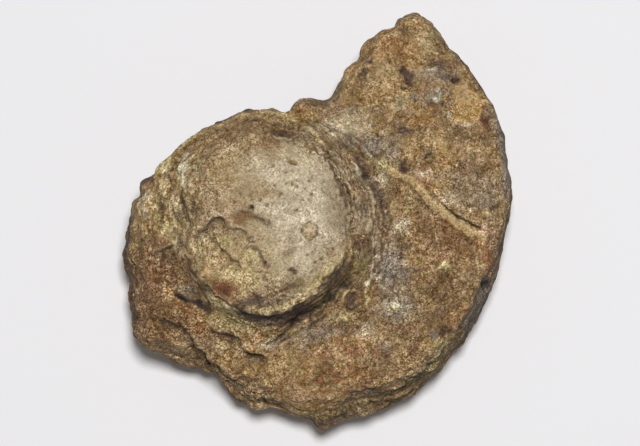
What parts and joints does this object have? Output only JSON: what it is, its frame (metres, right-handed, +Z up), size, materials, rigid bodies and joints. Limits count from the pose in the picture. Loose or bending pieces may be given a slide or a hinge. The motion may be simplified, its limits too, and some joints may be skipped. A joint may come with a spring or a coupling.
{
  "type": "fossil sea snail",
  "caption": "Natural stone mould of a low-spired sea snail's shell, with a flat-topped spire, a keeled last whorl that ends in a broken lip, and a hollow umbilicus underneath.",
  "frame": {"origin": "bottom centre of the bounding box, on the surface that the stone lies on", "axes": "+Z up, away from the base and towards the spire; +Y towards the tip of the broken lip; +X to the right of the stone as it is seen from above with the lip at the top"},
  "size_m": [0.0588, 0.0636, 0.0247],
  "materials": {
    "limestone": "rough brown limestone, matt"
  },
  "bodies": {
    "root": {"fossil_snail": "limestone"}
  },
  "joints": []
}
